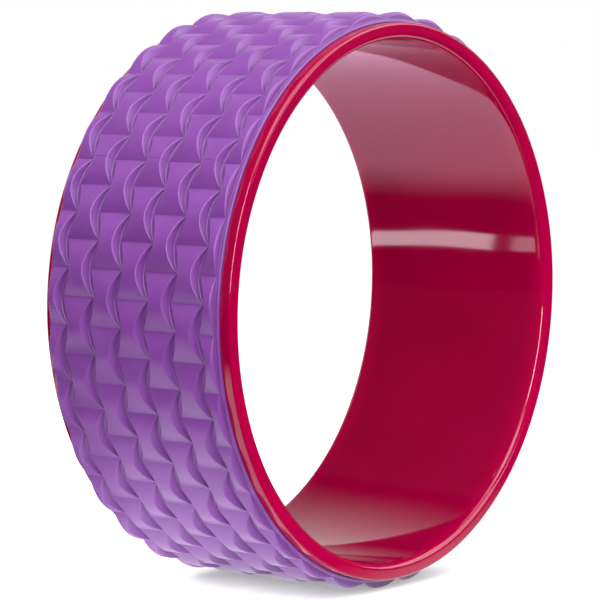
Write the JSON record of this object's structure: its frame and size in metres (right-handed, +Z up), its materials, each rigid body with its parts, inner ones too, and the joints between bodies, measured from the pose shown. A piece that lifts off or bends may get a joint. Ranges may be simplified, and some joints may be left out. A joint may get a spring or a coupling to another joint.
{
  "type": "yoga wheel",
  "caption": "Yoga wheel: a wide rigid plastic hoop with a textured foam tread bonded round it, rolled and leaned on for back bends and balance work.",
  "frame": {"origin": "centre of the wheel, on its axis and midway between the two rims", "axes": "+Z up with the wheel standing on its tread, +Y along the axis towards the back rim, -Y towards the front rim with the larger rounding"},
  "size_m": [0.3296, 0.13, 0.3291],
  "materials": {
    "hoop_plastic": "glossy red moulded plastic",
    "adhesive": "dried contact adhesive, hidden under the foam",
    "tread_foam": "matt purple moulded EVA foam"
  },
  "bodies": {
    "root": {"hoop": "hoop_plastic", "adhesive_film": "adhesive", "foam_tread": "tread_foam"}
  },
  "joints": []
}
